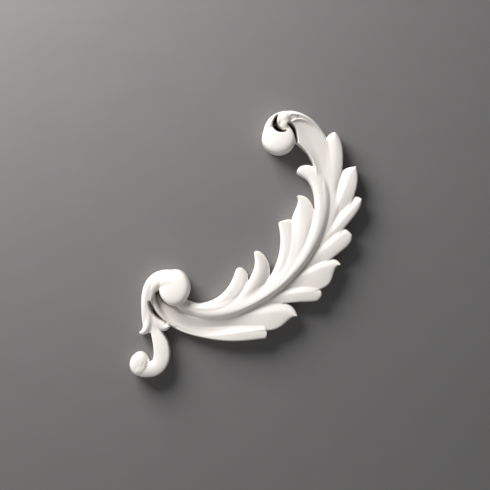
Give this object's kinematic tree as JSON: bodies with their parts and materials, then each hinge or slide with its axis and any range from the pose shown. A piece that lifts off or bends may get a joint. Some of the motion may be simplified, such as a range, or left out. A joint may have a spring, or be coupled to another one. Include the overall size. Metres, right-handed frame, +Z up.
{
  "type": "plaster scroll ornament",
  "caption": "Cast plaster wall ornament: a curved scroll of acanthus leaves with a ball volute at each end, a small curled tail and a flat back.",
  "frame": {"origin": "point on the flat back, under the midrib near the middle of the scroll, where it is fixed to the wall", "axes": "+X to the right and +Z up as seen from the front, +Y into the wall; the relief stands towards -Y"},
  "size_m": [0.232, 0.027, 0.2651],
  "materials": {
    "plaster": "satin white primed cast plaster"
  },
  "bodies": {
    "root": {"acanthus_scroll": "plaster"}
  },
  "joints": []
}
